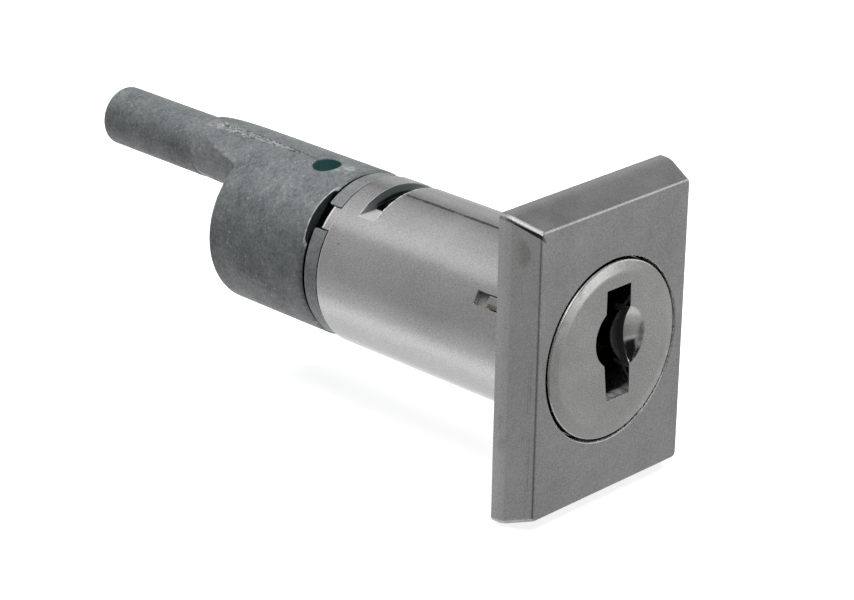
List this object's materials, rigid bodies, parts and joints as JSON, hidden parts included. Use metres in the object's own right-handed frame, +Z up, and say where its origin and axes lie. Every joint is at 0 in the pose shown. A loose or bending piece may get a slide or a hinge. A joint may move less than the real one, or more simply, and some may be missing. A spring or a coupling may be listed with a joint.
{
  "type": "furniture lock",
  "caption": "Keyed cylinder lock with a bevelled rectangular front plate, a round barrel and a rear driver whose eccentric pin swings half a turn to throw a locking bar.",
  "frame": {"origin": "on the lock's axis, in the rear face of the front plate, where the panel begins", "axes": "+X right and +Z up as seen from the front, +Y along the barrel, back through the panel"},
  "size_m": [0.025, 0.0765, 0.034],
  "materials": {
    "plate_nickel": "satin nickel plate on die-cast zinc",
    "barrel_nickel": "satin nickel plate on die-cast zinc",
    "face_nickel": "satin nickel plate on die-cast zinc",
    "ring_metal": "smooth raw die-cast zinc",
    "raw_zinc": "raw mottled die-cast zinc",
    "pin_steel": "dark oiled steel",
    "spindle_steel": "turned steel",
    "wafer_brass": "stamped brass",
    "spring_steel": "bright spring wire"
  },
  "bodies": {
    "lock_body": {"rosette": "plate_nickel", "housing": "barrel_nickel", "stop_ring": "ring_metal"},
    "turning_group": {"lock_core": "face_nickel", "drive_spindle": "spindle_steel", "driver": "raw_zinc", "driver_pin": "pin_steel", "retaining_spring": "spring_steel", "wafer_spring_1": "spring_steel", "wafer_spring_2": "spring_steel", "wafer_spring_3": "spring_steel", "wafer_spring_4": "spring_steel", "wafer_spring_5": "spring_steel", "wafer_spring_6": "spring_steel", "wafer_spring_7": "spring_steel"},
    "retainer": {"retaining_wafer": "wafer_brass"},
    "tumbler_1": {"wafer_1": "wafer_brass"},
    "tumbler_2": {"wafer_2": "wafer_brass"},
    "tumbler_3": {"wafer_3": "wafer_brass"},
    "tumbler_4": {"wafer_4": "wafer_brass"},
    "tumbler_5": {"wafer_5": "wafer_brass"},
    "tumbler_6": {"wafer_6": "wafer_brass"},
    "tumbler_7": {"wafer_7": "wafer_brass"}
  },
  "joints": [
    {"name": "plug_turn", "type": "hinge", "parent": "lock_body", "child": "turning_group", "pos_m": [0, 0, 0], "axis": [0, 1, 0], "range_deg": [0, 180]},
    {"name": "wafer_slide_1", "type": "slide", "parent": "turning_group", "child": "tumbler_1", "axis": [0, 0, -1], "range_m": [0, 0.0007], "stiffness_N_per_m": 20, "springref_m": 0.003, "deforming": ["wafer_spring_1"]},
    {"name": "wafer_slide_2", "type": "slide", "parent": "turning_group", "child": "tumbler_2", "axis": [0, 0, 1], "range_m": [0, 0.0007], "stiffness_N_per_m": 20, "springref_m": 0.003, "deforming": ["wafer_spring_2"]},
    {"name": "wafer_slide_3", "type": "slide", "parent": "turning_group", "child": "tumbler_3", "axis": [0, 0, -1], "range_m": [0, 0.0007], "stiffness_N_per_m": 20, "springref_m": 0.003, "deforming": ["wafer_spring_3"]},
    {"name": "wafer_slide_4", "type": "slide", "parent": "turning_group", "child": "tumbler_4", "axis": [0, 0, 1], "range_m": [0, 0.0007], "stiffness_N_per_m": 20, "springref_m": 0.003, "deforming": ["wafer_spring_4"]},
    {"name": "wafer_slide_5", "type": "slide", "parent": "turning_group", "child": "tumbler_5", "axis": [0, 0, -1], "range_m": [0, 0.0007], "stiffness_N_per_m": 20, "springref_m": 0.003, "deforming": ["wafer_spring_5"]},
    {"name": "wafer_slide_6", "type": "slide", "parent": "turning_group", "child": "tumbler_6", "axis": [0, 0, 1], "range_m": [0, 0.0007], "stiffness_N_per_m": 20, "springref_m": 0.003, "deforming": ["wafer_spring_6"]},
    {"name": "wafer_slide_7", "type": "slide", "parent": "turning_group", "child": "tumbler_7", "axis": [0, 0, -1], "range_m": [0, 0.0007], "stiffness_N_per_m": 20, "springref_m": 0.003, "deforming": ["wafer_spring_7"]},
    {"name": "retainer_slide", "type": "slide", "parent": "turning_group", "child": "retainer", "axis": [0, 0, 1], "range_m": [0, 0.00035], "stiffness_N_per_m": 20, "springref_m": -0.003, "deforming": ["retaining_spring"]}
  ]
}
